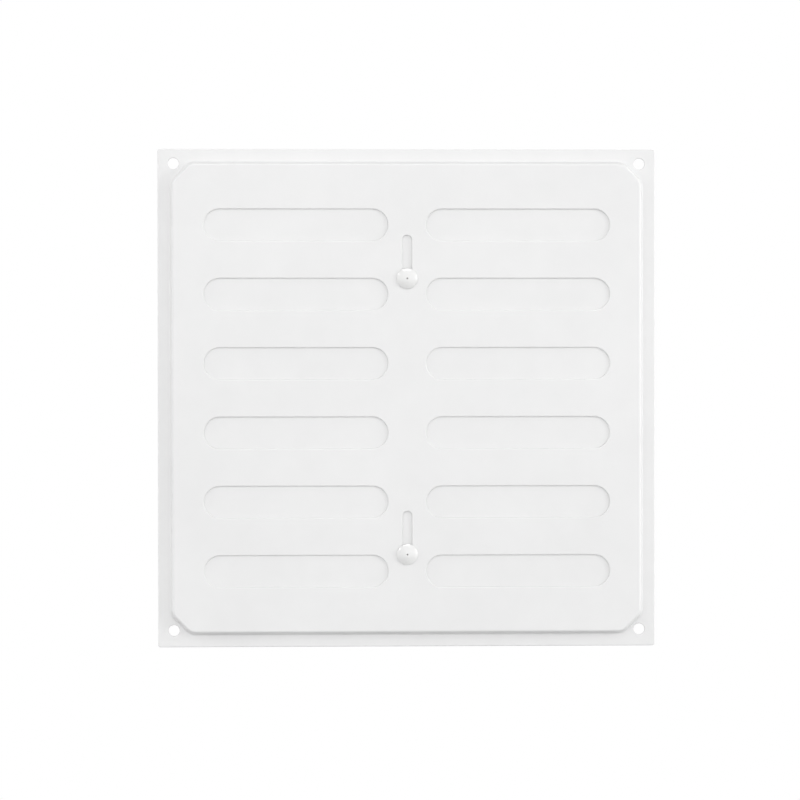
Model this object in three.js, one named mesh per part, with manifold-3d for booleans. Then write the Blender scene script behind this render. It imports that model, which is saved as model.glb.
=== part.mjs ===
// Hit-and-miss ventilation grille: a pressed and powder-coated sheet-metal face plate with two
// columns of round-ended slots, and behind it a flat sliding shutter plate with the same pattern.
// Two dome-headed rivets serve as finger knobs. Each one passes through a vertical slot in the
// face plate and a round hole in the shutter, and is riveted over a wave washer and a flat washer
// behind it, so the wave washer holds the shutter lightly against the face plate's back. Pushing a
// knob up slides the shutter until its slots line up with those of the face plate, and pushing it
// down closes the grille.
//
// Millimetres, +Z up. The front of the grille faces -Y. The origin is the centre of the fixing
// flange's back plane, which lies flat on the wall, so everything is at y <= 0.

import * as THREE from 'three';
import { mergeVertices } from 'three/addons/utils/BufferGeometryUtils.js';
import Module from 'manifold-3d';

const wasm = await Module();
wasm.setup();

// ---------------------------------------------------------------- driving dimensions (mm)

// face plate: outline and sheet
const PLATE_SIZE = 242;
const PLATE_CORNER_R = 1.2;
const SHEET = 0.8;

// raised panel: the drawn step between the fixing flange and the panel
const PANEL_RISE = 4.5;                       // flange front to panel front
const PANEL_HALF = 114.1;                     // half width at mid step
const DRAW_ANGLE = THREE.MathUtils.degToRad(74);
const TOP_RADIUS = 1.2;                       // outside radius at the panel's edge
const FOOT_RADIUS = 0.8;                      // inside radius at the flange
const CORNER_LEG = 9.0;                       // the panel's corners are cut off by this much
const CORNER_BLEND = 6.4;                     // and blended with this radius

// air slots
const SLOT_LENGTH = 89.2;
const SLOT_HEIGHT = 15.4;
const SLOT_COLUMN_X = 53.9;
const SLOT_PITCH = 33.6;
const SLOT_ROWS = 6;

// fixing holes in the flange's corners
const FIX_HOLE_R = 2.7;
const FIX_HOLE_X = 113.3;
const FIX_HOLE_Z_TOP = 113.9;
const FIX_HOLE_Z_BOTTOM = -112.9;

// knobs and the slots that they run in
const TRAVEL = 18.6;
const KNOB_SLOT_WIDTH = 4.7;
const KNOB_SLOT_Z = { upper: 67.3, lower: -66.6 };
const END_PLAY = 0.05;                        // the knob stops this far from the slot's end
const SHANK_R = 2.2;
const KNOB_SLOT_LENGTH = TRAVEL + KNOB_SLOT_WIDTH + 2 * END_PLAY;
const HEAD_R = 5.05;
const HEAD_RIM = 0.45;
const HEAD_HEIGHT = 2.0;
const HEAD_CLEARANCE = 0.1;                   // under the head, to the panel
const DIMPLE_R = 0.45;
const DIMPLE_DEPTH = 0.22;
const TAIL_R = 3.6;
const TAIL_HEIGHT = 0.95;

// shutter plate
const SHUTTER_SHEET = 0.6;
const SHUTTER_GAP = 0.1;                      // to the face plate's back
const SHUTTER_WIDTH = 208;
const SHUTTER_TOP = 93.8;
const SHUTTER_BOTTOM = -112.0;
const SHUTTER_CORNER_R = 3;
const SHUTTER_SLOT_LENGTH = 87.6;
const SHUTTER_SLOT_HEIGHT = 13.4;
const SHUTTER_SLOT_DROP = 17.8;               // below the face plate's slots when closed
const RIVET_HOLE_R = 2.3;

// washers
const WASHER_BORE_R = 2.3;
const WASHER_R = 4.6;
const WAVE_THICKNESS = 0.2;
const WAVE_LIFT = 0.15;                       // half of the wave's height
const WAVES = 3;
const BACK_WASHER_R = 5.0;
const BACK_WASHER_THICKNESS = 0.6;
const STACK_GAP = 0.03;                       // between pieces that are stacked on the rivet

// ---------------------------------------------------------------- derived positions

const PLATE_FRONT = -SHEET;
const PANEL_FRONT = -SHEET - PANEL_RISE;
const PANEL_BACK = PANEL_FRONT + SHEET;
const SHUTTER_FRONT_Y = PANEL_BACK + SHUTTER_GAP;
const SHUTTER_BACK_Y = SHUTTER_FRONT_Y + SHUTTER_SHEET;
const WAVE_MIDDLE_Y = SHUTTER_BACK_Y + STACK_GAP + WAVE_LIFT + WAVE_THICKNESS / 2;
const BACK_WASHER_Y = WAVE_MIDDLE_Y + WAVE_LIFT + WAVE_THICKNESS / 2 + STACK_GAP;
const TAIL_Y = BACK_WASHER_Y + BACK_WASHER_THICKNESS + STACK_GAP;
const KNOB_Z = {
  upper: KNOB_SLOT_Z.upper - TRAVEL / 2,
  lower: KNOB_SLOT_Z.lower - TRAVEL / 2,
};
const ROW_Z = Array.from({ length: SLOT_ROWS }, (_, i) => (i - (SLOT_ROWS - 1) / 2) * SLOT_PITCH);
const COLUMN_X = [-SLOT_COLUMN_X, SLOT_COLUMN_X];

// ---------------------------------------------------------------- shape helpers

/** A round-ended slot, along x or along z, as a path round (x, z). */
function obround(path, x, z, length, width, alongZ = false) {
  const r = width / 2;
  const s = length / 2 - r;
  if (alongZ) {
    path.moveTo(x + r, z - s);
    path.lineTo(x + r, z + s);
    path.absarc(x, z + s, r, 0, Math.PI, false);
    path.lineTo(x - r, z - s);
    path.absarc(x, z - s, r, Math.PI, 2 * Math.PI, false);
  } else {
    path.moveTo(x - s, z - r);
    path.lineTo(x + s, z - r);
    path.absarc(x + s, z, r, -Math.PI / 2, Math.PI / 2, false);
    path.lineTo(x - s, z + r);
    path.absarc(x - s, z, r, Math.PI / 2, (3 * Math.PI) / 2, false);
  }
  return path;
}

/** A rounded rectangle between two corners of the xz plane. */
function roundedRect(x0, z0, x1, z1, r) {
  const s = new THREE.Shape();
  s.moveTo(x0 + r, z0);
  s.lineTo(x1 - r, z0);
  s.absarc(x1 - r, z0 + r, r, -Math.PI / 2, 0, false);
  s.lineTo(x1, z1 - r);
  s.absarc(x1 - r, z1 - r, r, 0, Math.PI / 2, false);
  s.lineTo(x0 + r, z1);
  s.absarc(x0 + r, z1 - r, r, Math.PI / 2, Math.PI, false);
  s.lineTo(x0, z0 + r);
  s.absarc(x0 + r, z0 + r, r, Math.PI, (3 * Math.PI) / 2, false);
  return s;
}

/** Extrudes an xz outline between two depths, yFront < yBack. */
function plate(shape, yFront, yBack, curveSegments = 10) {
  const g = new THREE.ExtrudeGeometry(shape, {
    depth: yBack - yFront,
    bevelEnabled: false,
    curveSegments,
  });
  g.rotateX(Math.PI / 2);
  g.translate(0, yBack, 0);
  return g;
}

/** Six times the signed volume of an indexed or plain triangle list. */
function signedVolume(g) {
  const p = g.attributes.position;
  const index = g.index ? g.index.array : null;
  const n = index ? index.length : p.count;
  const [a, b, c] = [new THREE.Vector3(), new THREE.Vector3(), new THREE.Vector3()];
  let v = 0;
  for (let i = 0; i < n; i += 3) {
    a.fromBufferAttribute(p, index ? index[i] : i);
    b.fromBufferAttribute(p, index ? index[i + 1] : i + 1);
    c.fromBufferAttribute(p, index ? index[i + 2] : i + 2);
    v += a.dot(b.cross(c));
  }
  return v;
}

/** Merges shared vertices, drops collapsed triangles and turns the faces outwards. */
function closedMesh(geometry) {
  const g = geometry.clone();
  for (const name of Object.keys(g.attributes)) if (name !== 'position') g.deleteAttribute(name);
  const merged = mergeVertices(g, 1e-4);
  const flip = signedVolume(merged) < 0;
  const kept = [];
  const src = merged.index.array;
  for (let i = 0; i < src.length; i += 3) {
    const [a, b, c] = [src[i], src[i + 1], src[i + 2]];
    if (a === b || b === c || c === a) continue;
    if (flip) kept.push(a, c, b);
    else kept.push(a, b, c);
  }
  merged.setIndex(kept);
  return merged;
}

function toSolid(geometry) {
  const g = closedMesh(geometry);
  return new wasm.Manifold(new wasm.Mesh({
    numProp: 3,
    vertProperties: new Float32Array(g.attributes.position.array),
    triVerts: new Uint32Array(g.index.array),
  }));
}

function toGeometry(solid) {
  const m = solid.getMesh();
  const g = new THREE.BufferGeometry();
  g.setAttribute('position', new THREE.BufferAttribute(new Float32Array(m.vertProperties), 3));
  g.setIndex(Array.from(m.triVerts));
  return g;
}

/** Skins a stack of closed convex rings and closes both ends with a fan about the y axis. */
function loft(rings) {
  const n = rings[0].length;
  const position = [];
  const index = [];
  for (const ring of rings) for (const p of ring) position.push(...p);
  for (let k = 0; k + 1 < rings.length; k++) {
    for (let i = 0; i < n; i++) {
      const [a, b] = [k * n + i, k * n + ((i + 1) % n)];
      const [c, d] = [a + n, b + n];
      index.push(a, b, d, a, d, c);
    }
  }
  for (const [k, first] of [[0, true], [rings.length - 1, false]]) {
    const centre = position.length / 3;
    position.push(0, rings[k][0][1], 0);
    for (let i = 0; i < n; i++) {
      const [a, b] = [k * n + i, k * n + ((i + 1) % n)];
      if (first) index.push(centre, b, a);
      else index.push(centre, a, b);
    }
  }
  const g = new THREE.BufferGeometry();
  g.setAttribute('position', new THREE.Float32BufferAttribute(position, 3));
  g.setIndex(index);
  return g;
}

/**
 * The raised panel's outline at depth y, offset by d from the mid-step outline: a square with its
 * corners cut off at 45 degrees and blended into the sides.
 */
function panelRing(d, y, arcSteps = 5) {
  const half = PANEL_HALF + d;
  const cut = (2 * PANEL_HALF - CORNER_LEG) / Math.SQRT2 + d;   // centre to the cut's line
  const near = Math.SQRT2 * cut - half;
  const r = CORNER_BLEND + d;
  const ring = [];
  for (let q = 0; q < 4; q++) {
    const turn = (q * Math.PI) / 2;
    const corners = [
      { x: half, z: near, from: 0 },
      { x: near, z: half, from: Math.PI / 4 },
    ];
    for (const c of corners) {
      const mid = c.from + Math.PI / 8;
      const reach = r / Math.cos(Math.PI / 8);
      const cx = c.x - reach * Math.cos(mid);
      const cz = c.z - reach * Math.sin(mid);
      for (let i = 0; i <= arcSteps; i++) {
        const a = c.from + (i / arcSteps) * (Math.PI / 4);
        const x = cx + r * Math.cos(a);
        const z = cz + r * Math.sin(a);
        ring.push([x * Math.cos(turn) - z * Math.sin(turn), y, x * Math.sin(turn) + z * Math.cos(turn)]);
      }
    }
  }
  return ring;
}

/** The drawn step as [offset, depth] pairs from the panel to the flange; inset is 0 in front. */
function stepProfile(inset, topSteps, footSteps) {
  const [s, c] = [Math.sin(DRAW_ANGLE), Math.cos(DRAW_ANGLE)];
  const straight = (PANEL_RISE - (TOP_RADIUS + FOOT_RADIUS) * (1 - c)) / s;
  const run = (TOP_RADIUS + FOOT_RADIUS) * s + straight * c;
  const top = { d: -run / 2, y: PANEL_FRONT + TOP_RADIUS, r: TOP_RADIUS - inset };
  const foot = { d: run / 2, y: PLATE_FRONT - FOOT_RADIUS, r: FOOT_RADIUS + inset };
  const profile = [];
  for (let i = 0; i <= topSteps; i++) {
    const a = (i / topSteps) * DRAW_ANGLE;
    profile.push([top.d + top.r * Math.sin(a), top.y - top.r * Math.cos(a)]);
  }
  for (let i = 0; i <= footSteps; i++) {
    const a = DRAW_ANGLE * (1 - i / footSteps);
    profile.push([foot.d - foot.r * Math.sin(a), foot.y + foot.r * Math.cos(a)]);
  }
  return profile;
}

function lathe(points, segments) {
  return new THREE.LatheGeometry(points.map(([r, y]) => new THREE.Vector2(r, y)), segments);
}

function washer(boreR, r, yFront, yBack, segments = 36) {
  return lathe([[boreR, yFront], [r, yFront], [r, yBack], [boreR, yBack], [boreR, yFront]], segments);
}

// ---------------------------------------------------------------- pieces

function facePlateGeometry() {
  const half = PLATE_SIZE / 2;
  const flange = plate(roundedRect(-half, -half, half, half, PLATE_CORNER_R), PLATE_FRONT, 0, 3);

  // outside of the raised panel, from its flat front down into the flange's thickness
  const front = stepProfile(0, 4, 3);
  const outside = front.map(([d, y]) => panelRing(d, y));
  outside.push(panelRing(front.at(-1)[0], PLATE_FRONT / 2));

  // the hollow behind it, one sheet thickness inside, run out past the flange's back plane
  const back = stepProfile(SHEET, 2, 4);
  const inside = back.map(([d, y]) => panelRing(d, y));
  inside.push(panelRing(back.at(-1)[0], 1));

  let solid = toSolid(flange).add(toSolid(loft(outside))).subtract(toSolid(loft(inside)));

  const cutFront = PANEL_FRONT - 1;
  const cutBack = PANEL_BACK + 1;
  for (const x of COLUMN_X) {
    for (const z of ROW_Z) {
      const slot = obround(new THREE.Shape(), x, z, SLOT_LENGTH, SLOT_HEIGHT);
      solid = solid.subtract(toSolid(plate(slot, cutFront, cutBack, 6)));
    }
  }
  for (const z of Object.values(KNOB_SLOT_Z)) {
    const slot = obround(new THREE.Shape(), 0, z, KNOB_SLOT_LENGTH, KNOB_SLOT_WIDTH, true);
    solid = solid.subtract(toSolid(plate(slot, cutFront, cutBack, 5)));
  }
  for (const x of [-FIX_HOLE_X, FIX_HOLE_X]) {
    for (const z of [FIX_HOLE_Z_TOP, FIX_HOLE_Z_BOTTOM]) {
      const hole = new THREE.Shape().absarc(x, z, FIX_HOLE_R, 0, 2 * Math.PI, false);
      solid = solid.subtract(toSolid(plate(hole, PLATE_FRONT - 1, 1, 14)));
    }
  }
  return toGeometry(solid);
}

function shutterGeometry() {
  const w = SHUTTER_WIDTH / 2;
  const shape = roundedRect(-w, SHUTTER_BOTTOM, w, SHUTTER_TOP, SHUTTER_CORNER_R);
  for (const x of COLUMN_X) {
    for (const z of ROW_Z) {
      shape.holes.push(obround(new THREE.Path(), x, z - SHUTTER_SLOT_DROP, SHUTTER_SLOT_LENGTH, SHUTTER_SLOT_HEIGHT));
    }
  }
  for (const z of Object.values(KNOB_Z)) {
    shape.holes.push(new THREE.Path().absarc(0, z, RIVET_HOLE_R, 0, 2 * Math.PI, false));
  }
  return plate(shape, SHUTTER_FRONT_Y, SHUTTER_BACK_Y, 6);
}

/** Dome head in front, shank through the plates and washers, and the upset tail behind them. */
function knobGeometry() {
  const under = PANEL_FRONT - HEAD_CLEARANCE;
  const rim = under - HEAD_RIM;
  const peak = under - HEAD_HEIGHT;
  const rise = rim - peak;
  const domeR = (HEAD_R ** 2 + rise ** 2) / (2 * rise);
  const centre = peak + domeR;
  const domeY = (r) => centre - Math.sqrt(domeR ** 2 - r ** 2);
  const profile = [[0, domeY(DIMPLE_R) + DIMPLE_DEPTH], [DIMPLE_R * 0.55, domeY(DIMPLE_R) + DIMPLE_DEPTH * 0.8]];
  for (const r of [DIMPLE_R, 1.3, 2.2, 3.1, 3.9, 4.55, HEAD_R]) profile.push([r, domeY(r)]);
  profile.push([HEAD_R, under - 0.12], [HEAD_R - 0.12, under], [SHANK_R, under]);
  profile.push([SHANK_R, TAIL_Y], [TAIL_R, TAIL_Y], [TAIL_R, TAIL_Y + 0.35]);
  profile.push([TAIL_R * 0.8, TAIL_Y + 0.72], [TAIL_R * 0.4, TAIL_Y + TAIL_HEIGHT], [0, TAIL_Y + TAIL_HEIGHT]);
  return lathe(profile, 36);
}

/** A thin flat ring that ripples between the shutter and the back washer. */
function waveWasherGeometry(steps = 48) {
  const position = [];
  const index = [];
  for (let i = 0; i < steps; i++) {
    const a = (i / steps) * 2 * Math.PI;
    const y = WAVE_MIDDLE_Y + WAVE_LIFT * Math.sin(WAVES * a);
    for (const [r, dy] of [
      [WASHER_BORE_R, -WAVE_THICKNESS / 2],
      [WASHER_R, -WAVE_THICKNESS / 2],
      [WASHER_R, WAVE_THICKNESS / 2],
      [WASHER_BORE_R, WAVE_THICKNESS / 2],
    ]) position.push(r * Math.cos(a), y + dy, r * Math.sin(a));
  }
  for (let i = 0; i < steps; i++) {
    const [a, b] = [4 * i, 4 * ((i + 1) % steps)];
    for (let k = 0; k < 4; k++) {
      const m = (k + 1) % 4;
      index.push(a + k, b + k, b + m, a + k, b + m, a + m);
    }
  }
  const g = new THREE.BufferGeometry();
  g.setAttribute('position', new THREE.Float32BufferAttribute(position, 3));
  g.setIndex(index);
  return g;
}

function backWasherGeometry() {
  return washer(WASHER_BORE_R, BACK_WASHER_R, BACK_WASHER_Y, BACK_WASHER_Y + BACK_WASHER_THICKNESS);
}

// ---------------------------------------------------------------- materials

const whiteCoat = { color: 0xf3f4f4, roughness: 0.34, metalness: 0.0 };
const springSteel = { color: 0x9a9c9e, roughness: 0.38, metalness: 0.9 };
const zincSteel = { color: 0xb4b7ba, roughness: 0.42, metalness: 0.85 };

function piece(name, geometry, look, z = 0) {
  const g = closedMesh(geometry).toNonIndexed();
  g.computeVertexNormals();
  const mesh = new THREE.Mesh(g, new THREE.MeshStandardMaterial(look));
  mesh.name = name;
  mesh.position.set(0, 0, z);
  return mesh;
}

// ---------------------------------------------------------------- assembly

const grille = new THREE.Group();
grille.add(piece('face_plate', facePlateGeometry(), whiteCoat));

const sliding = new THREE.Group();
sliding.add(piece('shutter_plate', shutterGeometry(), whiteCoat));
for (const where of ['upper', 'lower']) {
  const z = KNOB_Z[where];
  sliding.add(piece(`${where}_knob`, knobGeometry(), whiteCoat, z));
  sliding.add(piece(`${where}_wave_washer`, waveWasherGeometry(), springSteel, z));
  sliding.add(piece(`${where}_back_washer`, backWasherGeometry(), zincSteel, z));
}
grille.add(sliding);

export default grille;
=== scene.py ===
"""Looks of the hit-and-miss ventilation grille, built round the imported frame.

Every CAD node gets a finer piece in its place: the pressed face plate with its rolled slot rims and
drawn corners, the flat shutter behind it, the two dome-headed rivet knobs and the washers they hold.
Lengths in this script are millimetres until a mesh is made, and metres in Blender.
"""

import math

import bpy
import numpy as np
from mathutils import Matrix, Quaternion, Vector
from mathutils.geometry import delaunay_2d_cdt


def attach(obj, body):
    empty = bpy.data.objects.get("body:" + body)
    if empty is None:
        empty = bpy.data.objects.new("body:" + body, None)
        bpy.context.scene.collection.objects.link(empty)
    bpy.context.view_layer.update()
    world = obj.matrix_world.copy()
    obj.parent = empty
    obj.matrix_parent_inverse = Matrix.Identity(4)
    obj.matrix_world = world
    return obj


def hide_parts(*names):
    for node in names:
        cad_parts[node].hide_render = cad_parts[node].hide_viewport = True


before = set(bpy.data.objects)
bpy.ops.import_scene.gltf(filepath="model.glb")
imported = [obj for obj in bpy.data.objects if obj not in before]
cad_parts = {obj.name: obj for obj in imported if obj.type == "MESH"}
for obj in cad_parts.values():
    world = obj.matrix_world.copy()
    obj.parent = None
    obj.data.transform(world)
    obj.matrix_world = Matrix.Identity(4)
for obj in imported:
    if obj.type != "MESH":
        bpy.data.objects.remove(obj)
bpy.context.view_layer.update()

# ---------------------------------------------------------------- the design's dimensions (mm)

PLATE_SIZE = 242.0
PLATE_CORNER_R = 1.2
SHEET = 0.8
PANEL_RISE = 4.5
PANEL_HALF = 114.1
DRAW_ANGLE = math.radians(74)
TOP_RADIUS = 1.2
FOOT_RADIUS = 0.8
CORNER_LEG = 9.0
CORNER_BLEND = 6.4
SLOT_LENGTH = 89.2
SLOT_HEIGHT = 15.4
SLOT_COLUMN_X = 53.9
SLOT_PITCH = 33.6
SLOT_ROWS = 6
FIX_HOLE_R = 2.7
FIX_HOLES = [(sx * 113.3, z) for sx in (-1, 1) for z in (113.9, -112.9)]
TRAVEL = 18.6
KNOB_SLOT_WIDTH = 4.7
KNOB_SLOT_Z = {"upper": 67.3, "lower": -66.6}
KNOB_SLOT_LENGTH = TRAVEL + KNOB_SLOT_WIDTH + 0.1
SHANK_R = 2.2
HEAD_R = 5.05
HEAD_RIM = 0.45
HEAD_HEIGHT = 2.0
HEAD_CLEARANCE = 0.1
DIMPLE_R = 0.5
DIMPLE_DEPTH = 0.5
TAIL_R = 3.6
TAIL_HEIGHT = 0.95
SHUTTER_SHEET = 0.6
SHUTTER_GAP = 0.1
SHUTTER_WIDTH = 208.0
SHUTTER_TOP = 93.8
SHUTTER_BOTTOM = -112.0
SHUTTER_CORNER_R = 3.0
SHUTTER_SLOT_LENGTH = 87.6
SHUTTER_SLOT_HEIGHT = 13.4
SHUTTER_SLOT_DROP = 17.8
RIVET_HOLE_R = 2.3
WASHER_BORE_R = 2.3
WASHER_R = 4.6
WAVE_THICKNESS = 0.2
WAVE_LIFT = 0.15
WAVES = 3
BACK_WASHER_R = 5.0
BACK_WASHER_THICKNESS = 0.6
STACK_GAP = 0.03

PLATE_FRONT = -SHEET
PANEL_FRONT = -SHEET - PANEL_RISE
PANEL_BACK = PANEL_FRONT + SHEET
SHUTTER_FRONT_Y = PANEL_BACK + SHUTTER_GAP
SHUTTER_BACK_Y = SHUTTER_FRONT_Y + SHUTTER_SHEET
WAVE_MIDDLE_Y = SHUTTER_BACK_Y + STACK_GAP + WAVE_LIFT + WAVE_THICKNESS / 2
BACK_WASHER_Y = WAVE_MIDDLE_Y + WAVE_LIFT + WAVE_THICKNESS / 2 + STACK_GAP
TAIL_Y = BACK_WASHER_Y + BACK_WASHER_THICKNESS + STACK_GAP
KNOB_Z = {k: z - TRAVEL / 2 for k, z in KNOB_SLOT_Z.items()}
ROW_Z = [(i - (SLOT_ROWS - 1) / 2) * SLOT_PITCH for i in range(SLOT_ROWS)]
COLUMN_X = (-SLOT_COLUMN_X, SLOT_COLUMN_X)

# finish of the pressed edges
SLOT_ROLL = 0.6           # how far the punch rolled the sheet over at a slot, along the sheet
SLOT_ROLL_DEPTH = 0.48    # and into it
EDGE_FRONT = 0.42         # the coated front edge of the flange
EDGE_BACK = 0.14          # the sharper back edges

# ---------------------------------------------------------------- outlines


class Outline:
    """A closed outline in the xz plane: points, outward normals, and the wrinkles along it."""

    def __init__(self, points, normals):
        self.points = np.array(points, float)
        self.normals = np.array(normals, float)
        self.wrinkle = np.zeros(len(self.points))
        self.wrinkle_slope = np.zeros(len(self.points))

    def at(self, d):
        return self.points + d * self.normals


def obround(x0, z0, length, width, along_z=False, step=5.0, arc=28):
    """A round-ended slot; the normals point away from its middle."""
    r = width / 2
    s = length / 2 - r
    t = np.linspace(-s, s, max(1, round(2 * s / step)) + 1)
    p = [(v, -r) for v in t]
    n = [(0, -1)] * len(t)
    for i in range(1, arc):
        a = -math.pi / 2 + math.pi * i / arc
        p.append((s + r * math.cos(a), r * math.sin(a)))
        n.append((math.cos(a), math.sin(a)))
    p += [(v, r) for v in t[::-1]]
    n += [(0, 1)] * len(t)
    for i in range(1, arc):
        a = math.pi / 2 + math.pi * i / arc
        p.append((-s + r * math.cos(a), r * math.sin(a)))
        n.append((math.cos(a), math.sin(a)))
    p, n = np.array(p, float), np.array(n, float)
    if along_z:
        p, n = p[:, ::-1] * (-1, 1), n[:, ::-1] * (-1, 1)
    return Outline(p + (x0, z0), n)


def circle(x0, z0, r, arc=56):
    a = np.arange(arc) * 2 * math.pi / arc
    n = np.stack([np.cos(a), np.sin(a)], 1)
    return Outline(n * r + (x0, z0), n)


def rounded_rect(x0, z0, x1, z1, r, step=5.0, arc=12):
    p, n = [], []
    corners = [(x1 - r, z1 - r), (x0 + r, z1 - r), (x0 + r, z0 + r), (x1 - r, z0 + r)]
    for q, (cx, cz) in enumerate(corners):
        for i in range(arc + 1):
            a = (q + i / arc) * math.pi / 2
            p.append((cx + r * math.cos(a), cz + r * math.sin(a)))
            n.append((math.cos(a), math.sin(a)))
        nx, nz = corners[(q + 1) % 4]
        a = (q + 1) * math.pi / 2
        start = np.array(p[-1])
        end = np.array((nx + r * math.cos(a), nz + r * math.sin(a)))
        k = max(1, round(float(np.linalg.norm(end - start)) / step))
        for i in range(1, k):
            p.append(tuple(start + (end - start) * i / k))
            n.append((math.cos(a), math.sin(a)))
    return Outline(p, n)


def panel_outline(step=5.0, fine=0.36):
    """The raised panel's outline at mid step, with fine points round its cut corners.

    The drawn corners gather the sheet a little, so they carry shallow wrinkles across the step.
    """
    half = PANEL_HALF
    cut = (2 * PANEL_HALF - CORNER_LEG) / math.sqrt(2)
    near = math.sqrt(2) * cut - half
    r = CORNER_BLEND
    reach = r / math.cos(math.pi / 8)
    p, n, s = [], [], []
    arc = math.ceil(r * math.pi / 4 / fine)
    strength = (1.0, 1.25, 1.1, 0.85)
    phase = (0.3, 1.9, 0.9, 2.6)
    for q in range(4):
        turn = q * math.pi / 2
        c, d = math.cos(turn), math.sin(turn)
        centres = []
        for x, z, start in ((half, near, 0.0), (near, half, math.pi / 4)):
            mid = start + math.pi / 8
            centres.append((x - reach * math.cos(mid), z - reach * math.sin(mid), start))
        quarter = []
        for cx, cz, start in centres:
            for i in range(arc + 1):
                a = start + i / arc * math.pi / 4
                quarter.append((cx + r * math.cos(a), cz + r * math.sin(a), a))
        first, second = quarter[: arc + 1], quarter[arc + 1 :]
        a0, a1 = np.array(first[-1][:2]), np.array(second[0][:2])
        k = max(1, round(float(np.linalg.norm(a1 - a0)) / fine))
        middle = [(*(a0 + (a1 - a0) * i / k), math.pi / 4) for i in range(1, k)]
        corner = first + middle + second
        along = 0.0
        last = None
        for x, z, a in corner:
            if last is not None:
                along += math.hypot(x - last[0], z - last[1])
            last = (x, z)
            p.append((x * c - z * d, x * d + z * c))
            n.append((math.cos(a + turn), math.sin(a + turn)))
            s.append((q, along))
        total = along
        s = [(v[0], v[1], total) if len(v) == 2 else v for v in s]
        end = np.array(corner[-1][:2])
        k = max(1, round(2 * end[0] / step))
        for i in range(1, k):
            x, z = end[0] - 2 * end[0] * i / k, end[1]
            p.append((x * c - z * d, x * d + z * c))
            n.append((math.cos(math.pi / 2 + turn), math.sin(math.pi / 2 + turn)))
            s.append((-1, 0.0, 1.0))
    out = Outline(p, n)
    wave = 2.9
    for i, (q, along, total) in enumerate(s):
        if q < 0:
            continue

        def g(v, q=q, total=total):
            window = math.sin(math.pi * min(max(v / total, 0), 1)) ** 2
            ripple = math.sin(2 * math.pi * v / wave + phase[q])
            ripple += 0.45 * math.sin(2 * math.pi * v / (wave * 0.61) + 2 * phase[q])
            return strength[q] * window * ripple

        out.wrinkle[i] = g(along)
        out.wrinkle_slope[i] = (g(along + 0.02) - g(along - 0.02)) / 0.04
    return out


# ---------------------------------------------------------------- skins


class Skin:
    """A mesh being made, in millimetres, with its own smooth normals and a map of its thin-coated edges, which also
    carries painted shade round the fixing holes.
    """

    def __init__(self):
        self.points, self.normals, self.thin, self.faces = [], [], [], []
        self.count = 0

    def add(self, points, normals, thin=0.0):
        points = np.array(points, float).reshape(-1, 3)
        self.points.append(points)
        self.normals.append(np.array(normals, float).reshape(-1, 3))
        self.thin.append(np.full(len(points), float(thin)))
        self.count += len(points)
        return list(range(self.count - len(points), self.count))

    def ring(self, outline, d, y, nd, ny, thin=0.0, wrinkle=0.0):
        """One ring of points at offset d and depth y, its normal given across the outline."""
        flat = outline.at(d)
        size = len(flat)
        p = np.stack([flat[:, 0], np.full(size, y), flat[:, 1]], 1)
        n = np.stack([nd * outline.normals[:, 0], np.full(size, ny), nd * outline.normals[:, 1]], 1)
        if wrinkle:
            side = -1.0 if ny > 0 else 1.0
            along = np.stack([-outline.normals[:, 1], np.zeros(size), outline.normals[:, 0]], 1)
            p = p + n * (side * wrinkle * outline.wrinkle)[:, None]
            n = n - along * (side * wrinkle * outline.wrinkle_slope)[:, None]
        return self.add(p, n, thin)

    def band(self, a, b):
        k = len(a)
        for i in range(k):
            j = (i + 1) % k
            self.faces.append((a[i], a[j], b[j], b[i]))

    def bands(self, rings):
        for a, b in zip(rings, rings[1:]):
            self.band(a, b)

    def fan(self, loop, centre):
        k = len(loop)
        for i in range(k):
            self.faces.append((loop[i], loop[(i + 1) % k], centre))

    def cap(self, loops, extra, y, ny, keep):
        """Fills a flat area between loops of points, with loose points inside it to carry its shape."""
        index = [i for loop in loops for i in loop]
        if len(extra):
            p = [(x, y, z) for x, z in extra]
            index += self.add(p, [(0, ny, 0)] * len(p))
        every = np.concatenate(self.points)
        flat = every[index][:, [0, 2]]
        edges, start = [], 0
        for loop in loops:
            k = len(loop)
            edges += [(start + i, start + (i + 1) % k) for i in range(k)]
            start += k
        verts, _, faces, origin, _, _ = delaunay_2d_cdt([Vector(v) for v in flat], edges, [], 0, 1e-6)
        verts = np.array([tuple(v) for v in verts])
        faces = [f for f in faces if len(f) == 3]
        middles = verts[np.array(faces)].mean(1)
        for face, inside in zip(faces, keep(middles[:, 0], middles[:, 1])):
            if inside:
                self.faces.append(tuple(index[origin[v][0]] for v in face))

    def object(self, name, shape=None):
        p = np.concatenate(self.points)
        n = np.concatenate(self.normals)
        if shape is not None:
            p, n = shape(p, n)
        n = n / np.linalg.norm(n, axis=1)[:, None]
        faces = []
        for f in self.faces:
            a, b, c = p[f[0]], p[f[1]], p[f[2]]
            out = np.cross(b - a, c - a)
            if len(f) == 4:
                out = np.cross(c - a, p[f[3]] - b)
            faces.append(tuple(f) if out @ n[list(f)].sum(0) > 0 else tuple(reversed(f)))
        mesh = bpy.data.meshes.new(name)
        mesh.from_pydata((p / 1000).tolist(), [], faces)
        mesh.update()
        thin = mesh.attributes.new("thin", "FLOAT", "POINT")
        thin.data.foreach_set("value", np.concatenate(self.thin).astype(np.float32))
        mesh.polygons.foreach_set("use_smooth", [True] * len(mesh.polygons))
        mesh.normals_split_custom_set_from_vertices([tuple(v) for v in n])
        made = bpy.data.objects.new(name, mesh)
        bpy.context.scene.collection.objects.link(made)
        return made


def quarter_roll(reach, depth, steps=6):
    """(offset, depth, normal across, normal in depth) from the flat front over into a cut wall."""
    rows = []
    for i in range(steps + 1):
        a = i / steps * math.pi / 2
        nd, ny = -math.sin(a) / reach, -math.cos(a) / depth
        size = math.hypot(nd, ny)
        rows.append((reach * (1 - math.sin(a)), depth * (1 - math.cos(a)), nd / size, ny / size))
    return rows


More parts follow.
